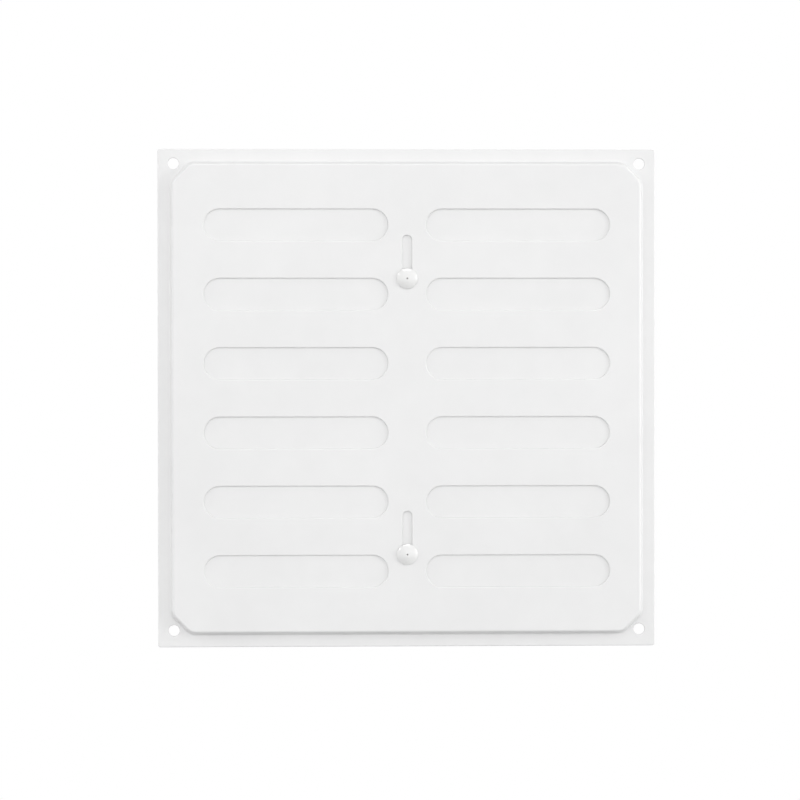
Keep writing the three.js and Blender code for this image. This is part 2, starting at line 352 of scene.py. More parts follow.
FRONT_GUARD, BACK_GUARD = 0.35, 0.3  # flat rings round an opening's rolled edges


def punch(skin, outline, y_front, y_back, reach, depth, back, steps=6, thin_front=0.06, thin_back=0.7):
    """The rolled front edge, wall and back edge of a punched opening. Returns its front and back loops."""
    rings = [skin.ring(outline, reach + FRONT_GUARD, y_front, 0, -1)]
    for d, dy, nd, ny in quarter_roll(reach, depth, steps):
        rings.append(skin.ring(outline, d, y_front + dy, nd, ny, thin_front * min(1.0, dy / depth)))
    rows = quarter_roll(back, back, 3)[::-1]
    rings.append(skin.ring(outline, 0, (y_front + depth + y_back - back) / 2, -1, 0, 0.2))
    for d, dy, nd, ny in rows:
        rings.append(skin.ring(outline, d, y_back - dy, nd, -ny, thin_back * (1 - 0.5 * dy / back)))
    rings.append(skin.ring(outline, back + BACK_GUARD, y_back, 0, 1))
    skin.bands(rings)
    return rings[0], rings[-1]


def beyond(off, reach, guard):
    """Which points lie outside an opening's outermost ring, and not just outside its cut edge."""
    return off > reach + guard - 0.003


def rim(skin, outline, y_front, y_back, front, back, thin_front=0.12, thin_back=0.75):
    """The outer edge of a cut plate. Returns its front and back loops."""
    rings = [skin.ring(outline, -front - 0.3, y_front, 0, -1)]
    for d, dy, nd, ny in quarter_roll(front, front, 4):
        rings.append(skin.ring(outline, -d, y_front + dy, -nd, ny, thin_front * min(1.0, dy / front)))
    for d, dy, nd, ny in quarter_roll(back, back, 3)[::-1]:
        rings.append(skin.ring(outline, -d, y_back - dy, -nd, -ny, thin_back * (0.4 + 0.6 * dy / back)))
    rings.append(skin.ring(outline, -back - 0.3, y_back, 0, 1))
    skin.bands(rings)
    return rings[0], rings[-1]


def off_obround(x, z, x0, z0, length, width, along_z=False):
    """Distance from a round-ended slot's outline, negative inside it."""
    if along_z:
        x, z, x0, z0 = z, x, z0, x0
    s = length / 2 - width / 2
    return np.hypot(np.maximum(np.abs(x - x0) - s, 0), z - z0) - width / 2


def in_convex(x, z, loop):
    """Which points lie inside a convex loop that runs anticlockwise."""
    a = loop
    b = np.roll(loop, -1, axis=0)
    e = b - a
    side = e[:, 0] * (z[:, None] - a[:, 1]) - e[:, 1] * (x[:, None] - a[:, 0])
    return (side > 0).all(1)


def smooth(v, low, high):
    t = np.clip((v - low) / (high - low), 0, 1)
    return t * t * (3 - 2 * t)


def off_slots(x, z):
    return np.min([off_obround(x, z, cx, rz, SLOT_LENGTH, SLOT_HEIGHT) for cx in COLUMN_X for rz in ROW_Z], axis=0)


def off_knob_slots(x, z):
    return np.min([off_obround(x, z, 0, kz, KNOB_SLOT_LENGTH, KNOB_SLOT_WIDTH, True) for kz in KNOB_SLOT_Z.values()], axis=0)


def sheet_wave(x, z):
    """How a thin pressed sheet isn't quite flat: long, shallow swells."""
    return (
        0.45 * np.sin(x / 31.0 + 0.6) * np.cos(z / 26.0 - 0.4)
        + 0.35 * np.sin((x + 0.7 * z) / 19.0 + 1.9)
        + 0.25 * np.cos((0.8 * x - z) / 14.5 + 0.5)
    )


def bent(height):
    """A shape function that moves points in depth by height(x, z) and turns their normals with it."""

    def shape(p, n):
        x, z = p[:, 0], p[:, 2]
        e = 0.05
        h = height(x, z)
        hx = (height(x + e, z) - height(x - e, z)) / (2 * e)
        hz = (height(x, z + e) - height(x, z - e)) / (2 * e)
        p = p.copy()
        p[:, 1] = np.minimum(p[:, 1] + h, 0.0)
        n = np.stack([n[:, 0] - hx * n[:, 1], n[:, 1], n[:, 2] - hz * n[:, 1]], 1)
        return p, n

    return shape


# ---------------------------------------------------------------- the face plate


def step_profile(inset, top_steps, foot_steps):
    """The drawn step from the panel to the flange: (offset, depth, normal across, normal in depth)."""
    s, c = math.sin(DRAW_ANGLE), math.cos(DRAW_ANGLE)
    straight = (PANEL_RISE - (TOP_RADIUS + FOOT_RADIUS) * (1 - c)) / s
    run = (TOP_RADIUS + FOOT_RADIUS) * s + straight * c
    top_r, foot_r = TOP_RADIUS - inset, FOOT_RADIUS + inset
    top_y, foot_y = PANEL_FRONT + TOP_RADIUS, PLATE_FRONT - FOOT_RADIUS
    rows = []
    for i in range(top_steps + 1):
        a = i / top_steps * DRAW_ANGLE
        rows.append((-run / 2 + top_r * math.sin(a), top_y - top_r * math.cos(a), math.sin(a), -math.cos(a)))
    for t in (0.25, 0.5, 0.75):
        top, foot = rows[top_steps], None
        foot = (run / 2 - foot_r * s, foot_y + foot_r * c)
        rows.append((top[0] + (foot[0] - top[0]) * t, top[1] + (foot[1] - top[1]) * t, s, -c))
    for i in range(foot_steps + 1):
        a = DRAW_ANGLE * (1 - i / foot_steps)
        rows.append((run / 2 - foot_r * math.sin(a), foot_y + foot_r * math.cos(a), math.sin(a), -math.cos(a)))
    return rows


def make_face_plate():
    skin = Skin()
    outline = panel_outline()
    wrinkle = 0.055

    def step(inset, side, top_steps, foot_steps):
        rows = step_profile(inset, top_steps, foot_steps)
        rings = []
        for i, (d, y, nd, ny) in enumerate(rows):
            share = math.sin(math.pi * i / (len(rows) - 1)) ** 2 if 0 < i < len(rows) - 1 else 0.0
            thin = 0.05 * nd * nd if side > 0 and i < top_steps else 0.0
            rings.append(skin.ring(outline, d, y, side * nd, side * ny, thin, wrinkle * share))
        skin.bands(rings)
        return rings[0], rings[-1], rows[0][0], rows[-1][0]

    top_front, foot_front, d_top, d_foot = step(0, 1, 9, 7)
    top_back, foot_back, _, d_foot_back = step(SHEET, -1, 4, 9)

    half = PLATE_SIZE / 2
    edge_front, edge_back = rim(
        skin, rounded_rect(-half, -half, half, half, PLATE_CORNER_R), PLATE_FRONT, 0, EDGE_FRONT, EDGE_BACK
    )
    hole_roll, hole_back, slot_back, guide_roll, guide_back = 0.3, 0.1, 0.1, 0.4, 0.08
    # the strong grey outline round the small holes is painted shade, standing in for the shadow seen through them; the
    # coat is also thin at their cut edges
    fixings = [punch(skin, circle(x, z, FIX_HOLE_R), PLATE_FRONT, 0, hole_roll, 0.22, hole_back, 5, 2.4) for x, z in FIX_HOLES]
    slots = [
        punch(skin, obround(x, z, SLOT_LENGTH, SLOT_HEIGHT), PANEL_FRONT, PANEL_BACK, SLOT_ROLL, SLOT_ROLL_DEPTH, slot_back, 7)
        for x in COLUMN_X
        for z in ROW_Z
    ]
    guides = [
        punch(skin, obround(0, z, KNOB_SLOT_LENGTH, KNOB_SLOT_WIDTH, True, 2.5, 28), PANEL_FRONT, PANEL_BACK, guide_roll, 0.3, guide_back, 6)
        for z in KNOB_SLOT_Z.values()
    ]

    foot_loop = outline.at(d_foot)
    foot_loop_back = outline.at(d_foot_back)

    def flange(loop, reach, guard):
        def keep(x, z):
            off = np.min([np.hypot(x - hx, z - hz) for hx, hz in FIX_HOLES], axis=0) - FIX_HOLE_R
            return beyond(off, reach, guard) & ~in_convex(x, z, loop)

        return keep

    skin.cap([edge_front, foot_front] + [f for f, _ in fixings], [], PLATE_FRONT, -1, flange(foot_loop, hole_roll, FRONT_GUARD))
    skin.cap([edge_back, foot_back] + [b for _, b in fixings], [], 0, 1, flange(foot_loop_back, hole_back, BACK_GUARD))

    grid = np.arange(-108, 108.1, 6.0)
    gx, gz = (v.ravel() for v in np.meshgrid(grid, grid))
    room = (off_slots(gx, gz) > 2.4) & (off_knob_slots(gx, gz) > 2.2) & in_convex(gx, gz, outline.at(d_top - 2.5))
    extra = list(zip(gx[room], gz[room]))

    def panel(slot_reach, guide_reach, guard):
        return lambda x, z: beyond(off_slots(x, z), slot_reach, guard) & beyond(off_knob_slots(x, z), guide_reach, guard)

    skin.cap([top_front] + [f for f, _ in slots + guides], extra, PANEL_FRONT, -1, panel(SLOT_ROLL, guide_roll, FRONT_GUARD))
    skin.cap([top_back] + [b for _, b in slots + guides], extra, PANEL_BACK, 1, panel(slot_back, guide_back, BACK_GUARD))

    def height(x, z):
        inset = PANEL_HALF - 2.0 - np.maximum(np.abs(x), np.abs(z))
        return 0.052 * sheet_wave(x, z) * smooth(inset, 0, 22) * smooth(off_knob_slots(x, z), 4.5, 16)

    return skin.object("pressed_face_plate", bent(height))


# ---------------------------------------------------------------- the shutter


def make_shutter():
    skin = Skin()
    w = SHUTTER_WIDTH / 2
    edge = rounded_rect(-w, SHUTTER_BOTTOM, w, SHUTTER_TOP, SHUTTER_CORNER_R)
    front, back = rim(skin, edge, SHUTTER_FRONT_Y, SHUTTER_BACK_Y, 0.2, 0.09)
    slot_roll, slot_back, hole_roll, hole_back = 0.32, 0.08, 0.12, 0.05
    slots = [
        punch(skin, obround(x, z - SHUTTER_SLOT_DROP, SHUTTER_SLOT_LENGTH, SHUTTER_SLOT_HEIGHT), SHUTTER_FRONT_Y, SHUTTER_BACK_Y, slot_roll, 0.22, slot_back, 5)
        for x in COLUMN_X
        for z in ROW_Z
    ]
    holes = [punch(skin, circle(0, z, RIVET_HOLE_R, 40), SHUTTER_FRONT_Y, SHUTTER_BACK_Y, hole_roll, 0.1, hole_back, 3) for z in KNOB_Z.values()]

    def off_own(x, z):
        return np.min(
            [off_obround(x, z, cx, rz - SHUTTER_SLOT_DROP, SHUTTER_SLOT_LENGTH, SHUTTER_SLOT_HEIGHT) for cx in COLUMN_X for rz in ROW_Z],
            axis=0,
        )

    def off_rivets(x, z):
        return np.min([np.hypot(x, z - kz) for kz in KNOB_Z.values()], axis=0)

    def sheet(slot_reach, hole_reach, guard):
        return lambda x, z: beyond(off_own(x, z), slot_reach, guard) & beyond(off_rivets(x, z) - RIVET_HOLE_R, hole_reach, guard)

    gx, gz = (v.ravel() for v in np.meshgrid(np.arange(-100, 100.1, 6.0), np.arange(SHUTTER_BOTTOM + 3.5, SHUTTER_TOP - 2.5, 6.0)))
    room = (off_own(gx, gz) > 2.0) & (off_rivets(gx, gz) > 3.5)
    extra = list(zip(gx[room], gz[room]))
    skin.cap([front] + [f for f, _ in slots + holes], extra, SHUTTER_FRONT_Y, -1, sheet(slot_roll, hole_roll, FRONT_GUARD))
    skin.cap([back] + [b for _, b in slots + holes], extra, SHUTTER_BACK_Y, 1, sheet(slot_back, hole_back, BACK_GUARD))

    def height(x, z):
        return 0.04 * sheet_wave(1.3 * x + 40, z - 25) * smooth(off_rivets(x, z), 7, 24)

    return skin.object("shutter_sheet", bent(height))


# ---------------------------------------------------------------- turned pieces


def filleted(corners, closed):
    """Rounds a path's corners. Each corner is (r, y, radius, steps), with the outside on the right of
    the way along it. Returns (r, y, normal r, normal y) rows; an open path's ends stay as they are."""
    pts = [np.array(c[:2], float) for c in corners]
    k = len(pts)
    rows = []

    def right(v):
        v = v / np.linalg.norm(v)
        return np.array((v[1], -v[0]))

    for i in range(k):
        if not closed and i in (0, k - 1):
            way = pts[1] - pts[0] if i == 0 else pts[-1] - pts[-2]
            rows.append((*pts[i], *right(way)))
            continue
        a, b, c = pts[i - 1], pts[i], pts[(i + 1) % k]
        n1, n2 = right(b - a), right(c - b)
        bend = math.atan2(n1[0] * n2[1] - n1[1] * n2[0], n1 @ n2)
        radius, steps = corners[i][2], corners[i][3]
        back = radius * math.tan(abs(bend) / 2)
        start = b - (b - a) / np.linalg.norm(b - a) * back
        side = 1.0 if bend > 0 else -1.0
        centre = start - side * radius * n1
        for j in range(steps + 1):
            t = bend * j / steps
            n = np.array((n1[0] * math.cos(t) - n1[1] * math.sin(t), n1[0] * math.sin(t) + n1[1] * math.cos(t)))
            rows.append((*(centre + side * radius * n), *n))
    return rows


def turned(skin, rows, z0, segments=96, closed=False, thin=None, wobble=None):
    """Turns (r, y, normal r, normal y) rows about the axis through (0, z0) along y."""
    a = np.arange(segments) * 2 * math.pi / segments
    c, s = np.cos(a), np.sin(a)
    loops = []
    for i, (r, y, nr, ny) in enumerate(rows):
        t = 0.0 if thin is None else thin(r, y)
        if r < 1e-6:
            loops.append(skin.add([(0, y, z0)], [(0, ny, 0)], t)[0])
            continue
        rr, yy = np.full(segments, r), np.full(segments, y)
        if wobble is not None:
            rr, yy = wobble(r, y, a)
        p = np.stack([rr * c, yy, z0 + rr * s], 1)
        n = np.stack([nr * c, np.full(segments, ny), nr * s], 1)
        loops.append(skin.add(p, n, t))
    if closed:
        loops.append(loops[0])
    for p, q in zip(loops, loops[1:]):
        if isinstance(p, int):
            skin.fan(q, p)
        elif isinstance(q, int):
            skin.fan(p, q)
        else:
            skin.band(p, q)


def make_knob(where, seed):
    """A dome head with a small centre dimple, a shank, and a tail upset over the back washer."""
    skin = Skin()
    under = PANEL_FRONT - HEAD_CLEARANCE
    rim_y = under - HEAD_RIM
    peak = under - HEAD_HEIGHT
    rise = rim_y - peak
    dome = (HEAD_R**2 + rise**2) / (2 * rise)

    def front(r):
        y = peak + dome - math.sqrt(dome**2 - r**2)
        q = r / (DIMPLE_R * 1.15)
        if q < 1:
            y += (DIMPLE_DEPTH + 0.01) * (1 - q * q) ** 2
        return y

    rows = [(0.0, front(0.0), 0.0, -1.0)]
    for r in list(np.linspace(0.05, 0.62, 14)) + list(np.linspace(0.85, HEAD_R - 0.32, 20)):
        slope = (front(r + 1e-4) - front(r - 1e-4)) / 2e-4
        size = math.hypot(slope, 1)
        rows.append((r, front(r), slope / size, -1 / size))
    last_r = HEAD_R - 0.3
    tail = TAIL_Y
    path = [
        (last_r, front(last_r), 0, 0),
        (HEAD_R, front(HEAD_R), 0.3, 6),
        (HEAD_R, under, 0.13, 4),
        (SHANK_R, under, 0.1, 3),
        (SHANK_R, tail, 0.08, 3),
        (TAIL_R, tail, 0.16, 4),
        (TAIL_R, tail + 0.26, 0, 0),
    ]
    rows += filleted(path, False)[:-1]
    for i in range(13):
        a = i / 12 * math.pi / 2
        nr, ny = math.cos(a) / TAIL_R, math.sin(a) / (TAIL_HEIGHT - 0.26)
        size = math.hypot(nr, ny)
        rows.append((TAIL_R * math.cos(a) if i < 12 else 0.0, tail + 0.26 + (TAIL_HEIGHT - 0.26) * math.sin(a), nr / size, ny / size))

    def thin(r, y):
        return 1.0 if y > BACK_WASHER_Y else 0.0

    def wobble(r, y, a):
        share = min(1.0, max(0.0, (y - tail) / 0.4))
        spread = 0.035 * np.sin(3 * a + seed) + 0.02 * np.sin(7 * a + 2.3 * seed) + 0.012 * np.sin(12 * a + seed)
        dents = 0.05 * np.sin(4 * a + 1.7 * seed) * np.sin(2.2 * r + seed) * share
        return r * (1 + (spread - 0.035) * share), y - np.abs(dents)

    turned(skin, rows, KNOB_Z[where], 96, False, thin, wobble)
    return skin.object(f"{where}_rivet_knob")


def ring_rows(bore, r, y_front, y_back, roll_front, roll_back):
    """A flat ring's section: bore and rim, with the stamping's rolled and sharp sides."""
    return filleted(
        [
            (bore, y_front, roll_front, 3),
            (bore, y_back, roll_back, 2),
            (r, y_back, roll_back, 2),
            (r, y_front, roll_front, 3),
        ],
        True,
    )


def make_washer(name, bore, r, y_front, y_back, z0, roll_front, roll_back, segments=72, wave=None):
    skin = Skin()
    rows = ring_rows(bore, r, y_front, y_back, roll_front, roll_back)
    # the section runs clockwise, so its normals are turned outwards here
    rows = [(a, b, -c, -d) for a, b, c, d in rows]
    middle = ((bore + r) / 2, (y_front + y_back) / 2)
    if sum((a - middle[0]) * c + (b - middle[1]) * d for a, b, c, d in rows) < 0:
        rows = [(a, b, -c, -d) for a, b, c, d in rows]
    dense = []
    for i, row in enumerate(rows):
        dense.append(row)
        after = rows[(i + 1) % len(rows)]
        if abs(after[0] - row[0]) > 1.2:
            for t in (0.25, 0.5, 0.75):
                dense.append(tuple(row[j] + (after[j] - row[j]) * t for j in range(4)))
    turned(skin, dense, z0, segments, True, None, None)
    shape = None
    if wave is not None:

        def shape(p, n):
            a = np.arctan2(p[:, 2] - z0, p[:, 0])
            rad = np.hypot(p[:, 2] - z0, p[:, 0])
            p = p.copy()
            p[:, 1] += wave * np.sin(WAVES * a)
            slope = wave * WAVES * np.cos(WAVES * a) / rad
            along = np.stack([-np.sin(a), np.zeros(len(a)), np.cos(a)], 1)
            return p, n - along * (slope * n[:, 1])[:, None]

    return skin.object(name, shape)


# ---------------------------------------------------------------- materials


class Nodes:
    """Short names for making a material's nodes."""

    def __init__(self, name):
        self.material = bpy.data.materials.new(name)
        self.material.use_nodes = True
        self.tree = self.material.node_tree
        self.tree.nodes.clear()
        self.out = self.tree.nodes.new("ShaderNodeOutputMaterial")
        self.shader = self.tree.nodes.new("ShaderNodeBsdfPrincipled")
        self.link(self.shader.outputs[0], self.out.inputs[0])
        self.place = self.tree.nodes.new("ShaderNodeTexCoord").outputs["Object"]

    def link(self, a, b):
        self.tree.links.new(a, b)

    def put(self, socket, value):
        if isinstance(value, bpy.types.NodeSocket):
            self.link(value, socket)
        elif value is not None:
            socket.default_value = value

    def noise(self, scale, detail=2.0, rough=0.5, distort=0.0, place=None):
        n = self.tree.nodes.new("ShaderNodeTexNoise")
        n.inputs["Scale"].default_value = scale
        n.inputs["Detail"].default_value = detail
        n.inputs["Roughness"].default_value = rough
        n.inputs["Distortion"].default_value = distort
        self.link(place or self.place, n.inputs["Vector"])
        return n.outputs[0]

    def cells(self, scale, feature="F1", output="Distance", place=None):
        n = self.tree.nodes.new("ShaderNodeTexVoronoi")
        n.feature = feature
        n.inputs["Scale"].default_value = scale
        self.link(place or self.place, n.inputs["Vector"])
        return n.outputs[output]

    def math(self, kind, a, b=0.0, c=0.0, clamp=False):
        n = self.tree.nodes.new("ShaderNodeMath")
        n.operation = kind
        n.use_clamp = clamp
        self.put(n.inputs[0], a)
        self.put(n.inputs[1], b)
        self.put(n.inputs[2], c)
        return n.outputs[0]

    def between(self, value, low, high, to_low=0.0, to_high=1.0, kind="LINEAR"):
        n = self.tree.nodes.new("ShaderNodeMapRange")
        n.interpolation_type = kind
        self.put(n.inputs[0], value)
        for i, v in enumerate((low, high, to_low, to_high)):
            n.inputs[i + 1].default_value = v
        return n.outputs[0]

    def mix(self, share, a, b):
        n = self.tree.nodes.new("ShaderNodeMix")
        n.data_type = "RGBA"
        self.put(n.inputs[0], share)
        self.put(n.inputs[6], (*a, 1) if isinstance(a, tuple) else a)
        self.put(n.inputs[7], (*b, 1) if isinstance(b, tuple) else b)
        return n.outputs[2]

    def stretched(self, x, y, z):
        n = self.tree.nodes.new("ShaderNodeMapping")
        n.inputs["Scale"].default_value = (x, y, z)
        self.link(self.place, n.inputs["Vector"])
        return n.outputs[0]

    def attribute(self, name):
        n = self.tree.nodes.new("ShaderNodeAttribute")
        n.attribute_name = name
        return n.outputs["Fac"]

    def axes(self):
        n = self.tree.nodes.new("ShaderNodeSeparateXYZ")
        self.link(self.place, n.inputs[0])
        return n.outputs

    def bump(self, height, distance, strength=1.0, under=None):
        n = self.tree.nodes.new("ShaderNodeBump")
        n.inputs["Strength"].default_value = strength
        n.inputs["Distance"].default_value = distance
        self.link(height, n.inputs["Height"])
        if under is not None:
            self.link(under, n.inputs["Normal"])
        return n.outputs[0]


def powder_coat(name, white, peel=1.0, rough=0.3, rubbed=False):
    """Stoved white powder coat: film of uneven thickness, orange peel, thin on the edges, with painted shade round the
    fixing holes.
    """
    m = Nodes(name)
    s = m.shader
    film = m.noise(16, 3, 0.55)
    fine = m.noise(90, 2, 0.5)
    cloud = m.math("MULTIPLY_ADD", fine, 0.35, m.math("MULTIPLY", film, 0.65))
    base = m.mix(m.between(cloud, 0.35, 0.65), tuple(v * 0.978 for v in white), tuple(min(1.0, v * 1.012) for v in white))

    # thin coat on cut edges lets a little of the metal's grey through, in patches; round the fixing holes the same
    # grey, much stronger, is painted shade
    thin = m.attribute("thin")
    patch = m.between(m.noise(260, 3, 0.6), 0.38, 0.68)
    grey_edge_and_shade = m.math("MULTIPLY", thin, m.math("MULTIPLY_ADD", patch, 0.5, 0.16), clamp=True)
    base = m.mix(grey_edge_and_shade, base, (0.42, 0.42, 0.42))
    m.link(base, s.inputs["Base Color"])

    gloss = m.between(m.noise(38, 4, 0.6), 0.3, 0.7, rough - 0.035, rough + 0.05)
    gloss = m.math("MULTIPLY_ADD", grey_edge_and_shade, 0.2, gloss)
    if rubbed:
        # where the knob's head runs, the film is polished a little
        x, _, z = m.axes()
        rub = None
        for kz in KNOB_SLOT_Z.values():
            dz = m.math("SUBTRACT", m.math("ABSOLUTE", m.math("SUBTRACT", z, kz / 1000)), TRAVEL / 2000)
            dz = m.math("MAXIMUM", dz, 0.0)
            away = m.math("SQRT", m.math("ADD", m.math("MULTIPLY", x, x), m.math("MULTIPLY", dz, dz)))
            near = m.between(away, 0.0056, 0.0042, 0, 1, "SMOOTHSTEP")
            rub = near if rub is None else m.math("MAXIMUM", rub, near)
        streak = m.between(m.noise(700, 2, 0.5, 0, m.stretched(1, 1, 0.08)), 0.4, 0.65)
        worn = m.math("MULTIPLY", rub, streak)
        gloss = m.math("MAXIMUM", m.math("MULTIPLY_ADD", worn, -0.05, gloss), 0.285)
    m.link(gloss, s.inputs["Roughness"])
    s.inputs["IOR"].default_value = 1.5
    s.inputs["Specular IOR Level"].default_value = 0.5
    s.inputs["Coat Weight"].default_value = 0.12
    s.inputs["Coat Roughness"].default_value = 0.16
    s.inputs["Coat IOR"].default_value = 1.5

    swell = m.noise(430, 1.5, 0.4)
    small = m.noise(1150, 1.0, 0.4)
    skin = m.math("MULTIPLY_ADD", small, 0.3, swell)
    normal = m.bump(skin, 0.0000085 * peel)
    m.link(normal, s.inputs["Normal"])
    return m.material


def rivet_coat(name, white):
    """The rivets' white enamel, glossier than the plate, and the bare steel of the upset tail."""
    m = Nodes(name)
    s = m.shader
    thin = m.attribute("thin")
    cloud = m.noise(150, 3, 0.6)
    enamel = m.mix(m.between(cloud, 0.35, 0.65), tuple(v * 0.97 for v in white), tuple(min(1.0, v * 1.01) for v in white))
    chips = m.between(m.noise(900, 3, 0.65), 0.42, 0.5)
    bare = m.math("MULTIPLY", thin, chips, clamp=True)
    steel = m.mix(m.noise(600, 3, 0.6), (0.36, 0.36, 0.355), (0.6, 0.6, 0.59))
    x, y, z = m.axes()
    # painted shade: the enamel is darkened to a dark grey in each head's centre dimple
    dimple_shade = None
    for kz in KNOB_Z.values():
        dz = m.math("SUBTRACT", z, kz / 1000)
        away = m.math("SQRT", m.math("ADD", m.math("MULTIPLY", x, x), m.math("MULTIPLY", dz, dz)))
        near = m.between(away, 0.00055, 0.0003, 0, 1, "SMOOTHSTEP")
        dimple_shade = near if dimple_shade is None else m.math("MAXIMUM", dimple_shade, near)
    dimple_shade = m.math("MULTIPLY", dimple_shade, m.math("LESS_THAN", y, PANEL_FRONT / 1000))
    enamel = m.mix(m.math("MULTIPLY", dimple_shade, 0.8), enamel, (0.3, 0.29, 0.28))
    m.link(m.mix(bare, enamel, steel), s.inputs["Base Color"])
    m.link(m.math("MULTIPLY", bare, 0.9), s.inputs["Metallic"])
    gloss = m.between(m.noise(420, 3, 0.6), 0.3, 0.7, 0.19, 0.26)
    m.link(m.math("MULTIPLY_ADD", bare, 0.16, gloss), s.inputs["Roughness"])
    s.inputs["IOR"].default_value = 1.5
    s.inputs["Coat Weight"].default_value = 0.2
    s.inputs["Coat Roughness"].default_value = 0.12
    s.inputs["Coat IOR"].default_value = 1.5
    lumps = m.noise(520, 2, 0.5)
    grain = m.noise(2600, 2, 0.5)
    normal = m.bump(lumps, 0.00006)
    normal = m.bump(grain, 0.000004, 1.0, normal)
    edge = m.bump(bare, 0.00003, 1.0, normal)
    m.link(edge, s.inputs["Normal"])
    return m.material


def plated(name, dark, light, rough, scratch, tint=None):
    """Stamped and plated steel: cloudy crystals and fine random scratches."""
    m = Nodes(name)
    s = m.shader
    cloud = m.noise(240, 4, 0.6, 0.6)
    base = m.mix(m.between(cloud, 0.3, 0.7), dark, light)
    if tint:
        base = m.mix(m.between(m.noise(130, 2, 0.5), 0.45, 0.75, 0, 0.45), base, tint)
    m.link(base, s.inputs["Base Color"])
    s.inputs["Metallic"].default_value = 1.0
    crystals = m.cells(1500, "F1", "Distance")
    gloss = m.between(cloud, 0.3, 0.7, rough - 0.06, rough + 0.09)
    m.link(m.math("MULTIPLY_ADD", crystals, 0.05, gloss), s.inputs["Roughness"])
    lines = m.noise(3000, 2, 0.6, 0, m.stretched(1, 1, 0.04))
    cross = m.noise(2600, 2, 0.6, 0, m.stretched(0.05, 1, 1))
    height = m.math("MULTIPLY_ADD", cross, 0.7, lines)
    normal = m.bump(height, scratch)
    normal = m.bump(crystals, 0.000006, 1.0, normal)
    m.link(normal, s.inputs["Normal"])
    return m.material


WHITE = (0.80, 0.80, 0.80)
coat = powder_coat("white_powder_coat", WHITE, 1.0, 0.33, True)
shutter_coat = powder_coat("white_powder_coat_shutter", WHITE, 1.15, 0.35)
enamel = rivet_coat("white_rivet_enamel", (0.81, 0.81, 0.805))
spring = plated("spring_steel", (0.34, 0.345, 0.36), (0.52, 0.525, 0.54), 0.36, 0.000008, (0.42, 0.36, 0.28))
zinc = plated("zinc_plated_steel", (0.56, 0.57, 0.59), (0.74, 0.75, 0.76), 0.37, 0.000006, (0.66, 0.66, 0.55))

# ---------------------------------------------------------------- the pieces on their bodies


def settle(piece, body, slot, material, *nodes):
    piece.data.materials.append(material)
    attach(piece, body)
    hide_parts(*nodes)
    return piece


settle(make_face_plate(), "face", "white_powder_coat", coat, "face_plate")
settle(make_shutter(), "shutter", "white_powder_coat", shutter_coat, "shutter_plate")
for where, seed in (("upper", 0.7), ("lower", 2.9)):
    z = KNOB_Z[where]
    settle(make_knob(where, seed), "shutter", "white_coated_rivet", enamel, f"{where}_knob")
    settle(
        make_washer(
            f"{where}_wave_spring", WASHER_BORE_R, WASHER_R,
            WAVE_MIDDLE_Y - WAVE_THICKNESS / 2, WAVE_MIDDLE_Y + WAVE_THICKNESS / 2, z, 0.05, 0.03, 96, WAVE_LIFT,
        ),
        "shutter", "spring_steel", spring, f"{where}_wave_washer",
    )
    settle(
        make_washer(
            f"{where}_rivet_washer", WASHER_BORE_R, BACK_WASHER_R,
            BACK_WASHER_Y, BACK_WASHER_Y + BACK_WASHER_THICKNESS, z, 0.05, 0.13,
        ),
        "shutter", "zinc_plated_steel", zinc, f"{where}_back_washer",
    )

# ---------------------------------------------------------------- floor, light and camera


def make_floor():
    """A plain pale floor, well below the grille, gently rounded off at its rim."""
    rings = []
    rows = [(0.0, 0.0), (0.8, 0.0), (2.0, 0.0), (3.4, 0.0), (3.9, -0.004), (4.0, -0.02)]
    points, faces = [(0, 0, 0)], []
    k = 64
    for r, z in rows[1:]:
        rings.append(len(points))
        points += [(r * math.cos(2 * math.pi * i / k), r * math.sin(2 * math.pi * i / k), z) for i in range(k)]
    faces += [(0, rings[0] + i, rings[0] + (i + 1) % k) for i in range(k)]
    for a, b in zip(rings, rings[1:]):
        faces += [(a + i, b + i, b + (i + 1) % k, a + (i + 1) % k) for i in range(k)]
    mesh = bpy.data.meshes.new("studio_floor")
    mesh.from_pydata(points, [], faces)
    mesh.update()
    floor = bpy.data.objects.new("studio_floor", mesh)
    floor.location = (0, 0, -1.0)
    bpy.context.scene.collection.objects.link(floor)
    m = Nodes("pale_floor")
    pale = m.mix(m.noise(3, 2, 0.5), (0.74, 0.74, 0.74), (0.78, 0.78, 0.78))
    # it looks pale, but throws back less light, like a floor that is mostly in shade
    path = m.tree.nodes.new("ShaderNodeLightPath").outputs["Is Camera Ray"]
    # and further off it runs out into the white behind it, as a studio's sweep does
    x, y, _ = m.axes()
    away = m.math("SQRT", m.math("ADD", m.math("MULTIPLY", x, x), m.math("MULTIPLY", y, y)))
    fade = m.math("MULTIPLY", path, m.between(away, 1.0, 3.5, 0, 1, "SMOOTHSTEP"))
    m.link(m.mix(fade, m.mix(path, (0.42, 0.42, 0.42), pale), (0.05, 0.05, 0.05)), m.shader.inputs["Base Color"])
    m.shader.inputs["Emission Color"].default_value = (1, 1, 1, 1)
    m.link(fade, m.shader.inputs["Emission Strength"])
    m.shader.inputs["Roughness"].default_value = 0.7
    mesh.materials.append(m.material)


make_floor()

scene = bpy.context.scene
world = bpy.data.worlds.new("studio")
scene.world = world
world.use_nodes = True
tree = world.node_tree
tree.nodes.clear()
out = tree.nodes.new("ShaderNodeOutputWorld")
choose = tree.nodes.new("ShaderNodeMixShader")
seen = tree.nodes.new("ShaderNodeBackground")
seen.inputs[0].default_value = (1, 1, 1, 1)
seen.inputs[1].default_value = 1.0
lit = tree.nodes.new("ShaderNodeBackground")
lit.inputs[1].default_value = 1.0
around = tree.nodes.new("ShaderNodeTexCoord")


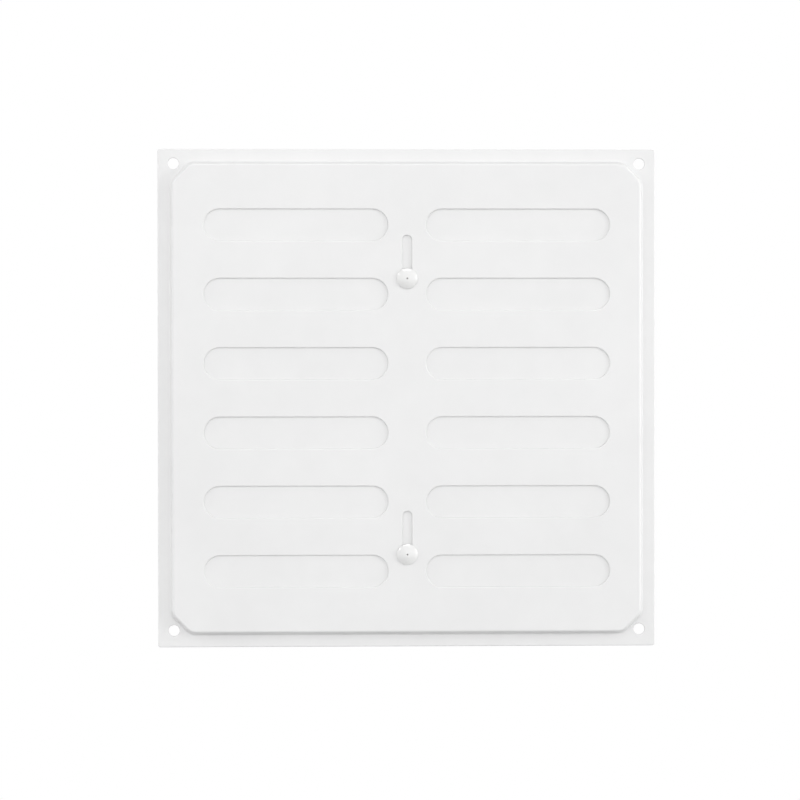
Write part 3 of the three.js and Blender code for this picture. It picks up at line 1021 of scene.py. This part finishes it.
def lobe(way, sharpness, strength, onto):
    """Adds a soft lobe of light from that direction to the studio's even light."""
    dot = tree.nodes.new("ShaderNodeVectorMath")
    dot.operation = "DOT_PRODUCT"
    dot.inputs[1].default_value = Vector(way).normalized()
    tree.links.new(around.outputs["Generated"], dot.inputs[0])
    value = dot.outputs["Value"]
    for kind, number in (("MAXIMUM", 0.0), ("POWER", sharpness)):
        node = tree.nodes.new("ShaderNodeMath")
        node.operation = kind
        tree.links.new(value, node.inputs[0])
        node.inputs[1].default_value = number
        value = node.outputs[0]
    node = tree.nodes.new("ShaderNodeMath")
    node.operation = "MULTIPLY_ADD"
    tree.links.new(value, node.inputs[0])
    node.inputs[1].default_value = strength
    if isinstance(onto, float):
        node.inputs[2].default_value = onto
    else:
        tree.links.new(onto, node.inputs[2])
    return node.outputs[0]


glow = lobe((0, -1, 0), 3.0, 1.2, 0.50)        # the big diffuser in front
glow = lobe((-1, 0, 0), 2.0, 1.08, glow)         # the broad fill on the left
glow = lobe((1, 0, 0), 2.0, 0.1, glow)
glow = lobe((1, -0.12, 0), 10.0, 2.5, glow)      # the light that grazes it from the right
glow = lobe((0, 1, 0.3), 2.0, 0.3, glow)         # the wall behind
tree.links.new(glow, lit.inputs[0])
ray = tree.nodes.new("ShaderNodeLightPath")
tree.links.new(ray.outputs["Is Camera Ray"], choose.inputs[0])
tree.links.new(lit.outputs[0], choose.inputs[1])
tree.links.new(seen.outputs[0], choose.inputs[2])
tree.links.new(choose.outputs[0], out.inputs[0])


def softbox(name, azimuth, elevation, distance, width, height, power):
    """A soft light seen from the grille at that azimuth (0 in front, 90 to its right) and height."""
    a, e = math.radians(azimuth), math.radians(elevation)
    way = Vector((math.sin(a) * math.cos(e), -math.cos(a) * math.cos(e), math.sin(e)))
    data = bpy.data.lights.new(name, "AREA")
    data.shape = "RECTANGLE"
    data.size, data.size_y = width, height
    data.energy = power
    lamp = bpy.data.objects.new(name, data)
    lamp.location = way * distance
    lamp.rotation_mode = "QUATERNION"
    lamp.rotation_quaternion = way.to_track_quat("Z", "Y")
    scene.collection.objects.link(lamp)
    return lamp


# lights that show only as highlights on the rolled and drawn edges
for name, azimuth, elevation, width, height, power in (
    ("strip_above", 0, 58, 1.3, 0.2, 9.0),
    ("sparkle", -56, 27, 0.12, 0.12, 3.0),
):
    softbox(name, azimuth, elevation, 1.6, width, height, power).visible_diffuse = False
softbox("key", 67, 12, 3.0, 0.56, 1.3, 12.5)
softbox("behind", 150, 40, 2.0, 0.9, 0.9, 9.0)

camera_data = bpy.data.cameras.new("camera")
camera_data.sensor_width = 36.0
camera_data.sensor_fit = "AUTO"
camera_data.lens = 138.63
camera_data.clip_start, camera_data.clip_end = 0.05, 50.0
camera = bpy.data.objects.new("camera", camera_data)
scene.collection.objects.link(camera)
AZ, EL, ROLL, DISTANCE = math.radians(-1.936), math.radians(0.766), math.radians(-0.057), 1.5
back = Vector((math.sin(AZ) * math.cos(EL), -math.cos(AZ) * math.cos(EL), math.sin(EL)))
camera.location = Vector((-0.00332, 0.0, -0.00097)) + back * DISTANCE
camera.rotation_mode = "QUATERNION"
camera.rotation_quaternion = (-back).to_track_quat("-Z", "Y") @ Quaternion((0, 0, 1), ROLL)
scene.camera = camera

scene.view_settings.view_transform = "Standard"
scene.view_settings.look = "None"
scene.cycles.use_denoising = True
